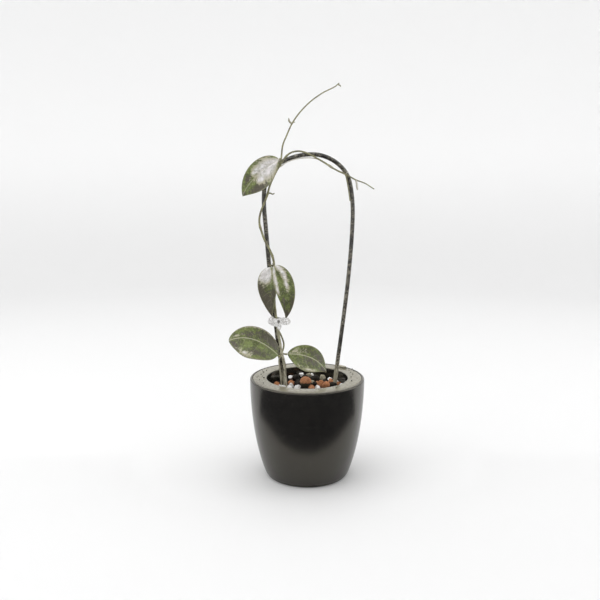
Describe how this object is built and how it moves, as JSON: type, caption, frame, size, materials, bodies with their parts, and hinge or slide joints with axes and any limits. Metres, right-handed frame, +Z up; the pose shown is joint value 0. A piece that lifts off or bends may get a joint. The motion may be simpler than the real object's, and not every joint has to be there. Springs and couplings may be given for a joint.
{
  "type": "potted hoya",
  "caption": "Hoya vine with thick oval leaves twining on a bent wire hoop, in a tapered gloss pot with a drop-in liner full of mixed gravel.",
  "frame": {"origin": "centre of the pot's flat underside", "axes": "+Z up along the pot's axis, -Y to the front as seen in the picture, +X to its right"},
  "size_m": [0.1624, 0.13, 0.4391],
  "materials": {
    "pot_shell": "gloss black",
    "pot_liner": "semi gloss black",
    "gravel": "mixed lava, pumice and clay gravel",
    "fired_clay": "fired clay",
    "hoop": "black coated tube",
    "stem": "young green bark",
    "leaf": "thick waxy leaf, green with silver splashes",
    "clip": "clear plastic"
  },
  "bodies": {
    "root": {"pot_shell": "pot_shell", "pot_liner": "pot_liner", "gravel_bed": "gravel", "clay_ball": "fired_clay", "support_hoop": "hoop", "vine_stem": "stem", "leaf_top": "leaf", "leaf_mid_left": "leaf", "leaf_mid_right": "leaf", "leaf_low_left": "leaf", "leaf_low_right": "leaf", "plant_clip": "clip"}
  },
  "joints": []
}
